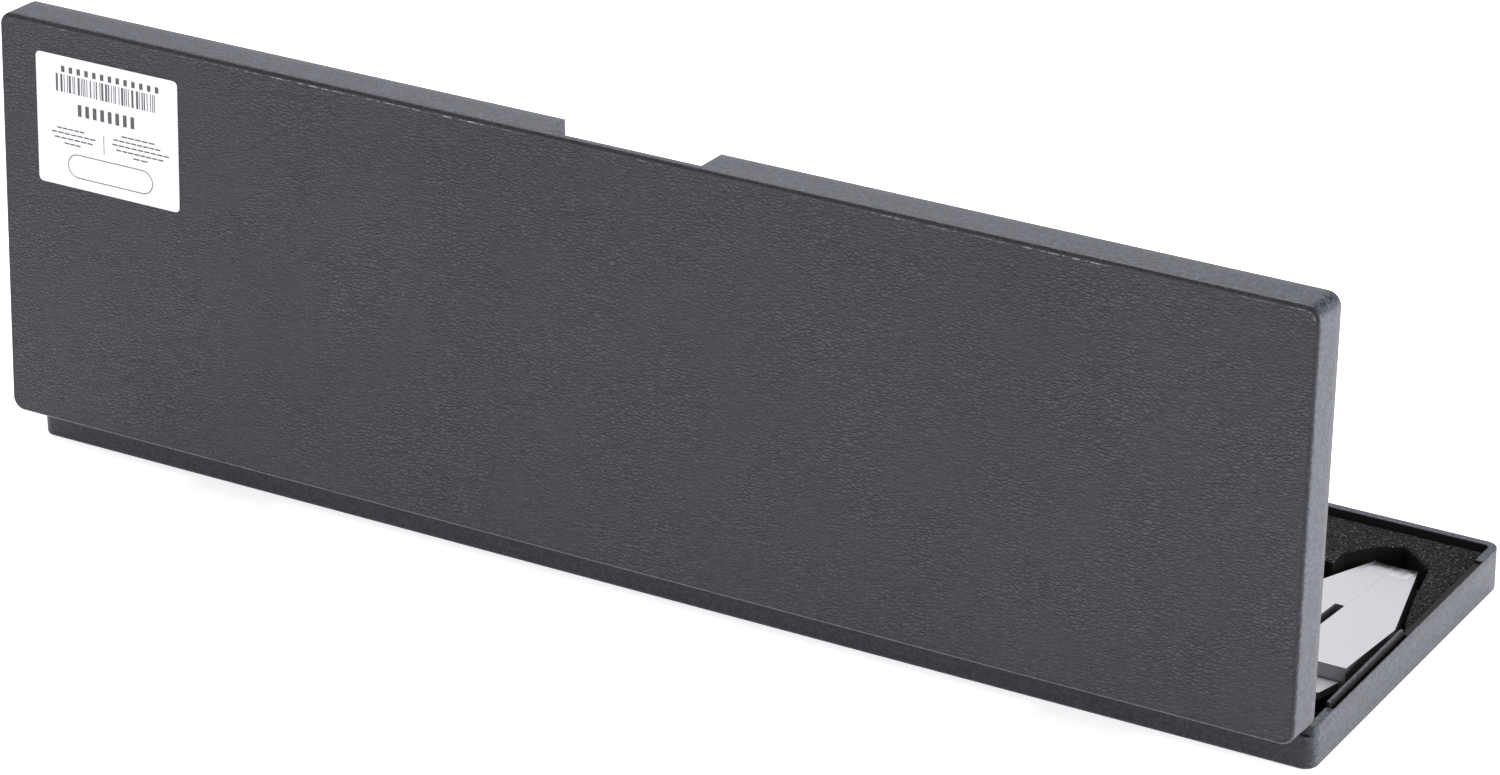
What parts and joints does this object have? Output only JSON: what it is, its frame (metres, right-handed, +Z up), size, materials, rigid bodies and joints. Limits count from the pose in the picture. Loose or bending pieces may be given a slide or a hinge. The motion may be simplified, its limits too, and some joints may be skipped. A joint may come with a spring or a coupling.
{
  "type": "cased slide caliper",
  "caption": "Steel slide caliper with crossed knife tips and fine adjustment, lying tilted in the foam of an open, hinged black plastic case with a finger scoop and latch.",
  "frame": {"origin": "centre of the case's underside, on the surface it rests on", "axes": "+X along the hinge towards the end that holds the jaws, +Y from the hinge to the front of the case, +Z up; the lid is drawn standing open at 87.2 degrees"},
  "size_m": [0.42, 0.1383, 0.1388],
  "materials": {
    "case_plastic": "fine leather grain, satin sheen",
    "clip_plastic": "smooth moulded",
    "foam": "open-cell foam, dark charcoal",
    "label_paper": "white coated label with plain printed bars",
    "ground_steel": "fine ground, matt chrome",
    "satin_chrome": "satin chrome with engraved scale",
    "knurled_steel": "straight knurl",
    "screw_steel": "turned",
    "pin_steel": "drawn wire",
    "gib_bronze": "rolled strip"
  },
  "bodies": {
    "base": {"case_base": "case_plastic", "hinge_pins": "pin_steel", "base_foam": "foam", "foam_jaw_strip": "foam"},
    "lid": {"case_lid": "case_plastic", "lid_foam": "foam", "label": "label_paper"},
    "latch": {"latch_clip": "clip_plastic"},
    "beam": {"caliper_beam": "ground_steel", "end_stop": "satin_chrome", "end_stop_screws": "screw_steel"},
    "carriage": {"carriage": "ground_steel", "carriage_gib": "gib_bronze"},
    "carriage_lock": {"carriage_lock_screw": "knurled_steel"},
    "slider": {"slider": "ground_steel", "vernier_plate": "satin_chrome", "vernier_screws": "screw_steel", "slider_gib": "gib_bronze", "gib_screws": "screw_steel", "fine_spindle": "screw_steel"},
    "slider_lock": {"slider_lock_screw": "knurled_steel"},
    "nut": {"fine_nut": "knurled_steel"}
  },
  "joints": [
    {"name": "lid_hinge", "type": "hinge", "parent": "base", "child": "lid", "pos_m": [0, -0.0625, 0.0133], "axis": [1, 0, 0], "range_deg": [-87.2, 90]},
    {"name": "latch_turn", "type": "hinge", "parent": "base", "child": "latch", "pos_m": [0, 0.06135, 0.0044], "axis": [-1, 0, 0], "range_deg": [0, 60]},
    {"name": "caliper_lift", "type": "slide", "parent": "base", "child": "beam", "axis": [0, 0, 1], "range_m": [0, 0.06]},
    {"name": "carriage_travel", "type": "slide", "parent": "beam", "child": "carriage", "axis": [-1, 0, 0], "range_m": [0, 0.3], "deforming": ["foam_jaw_strip"]},
    {"name": "nut_turn", "type": "hinge", "parent": "carriage", "child": "nut", "pos_m": [0.1105, -0.00683, 0.00971], "axis": [-1, 0, 0], "range_deg": [0, 2880]},
    {"name": "fine_adjust", "type": "slide", "parent": "carriage", "child": "slider", "axis": [-1, 0, 0], "range_m": [0, 0.004]},
    {"name": "slider_lock_turn", "type": "hinge", "parent": "slider", "child": "slider_lock", "pos_m": [0.14775, -0.03868, 0.01278], "axis": [0, -0.9954, 0.0958], "range_deg": [0, 360]},
    {"name": "carriage_lock_turn", "type": "hinge", "parent": "carriage", "child": "carriage_lock", "pos_m": [0.1105, -0.03868, 0.01278], "axis": [0, -0.9954, 0.0958], "range_deg": [0, 360]}
  ],
  "couplings": [
    {"joint": "nut_turn", "follows": "fine_adjust", "rad_per_m": 12566}
  ]
}
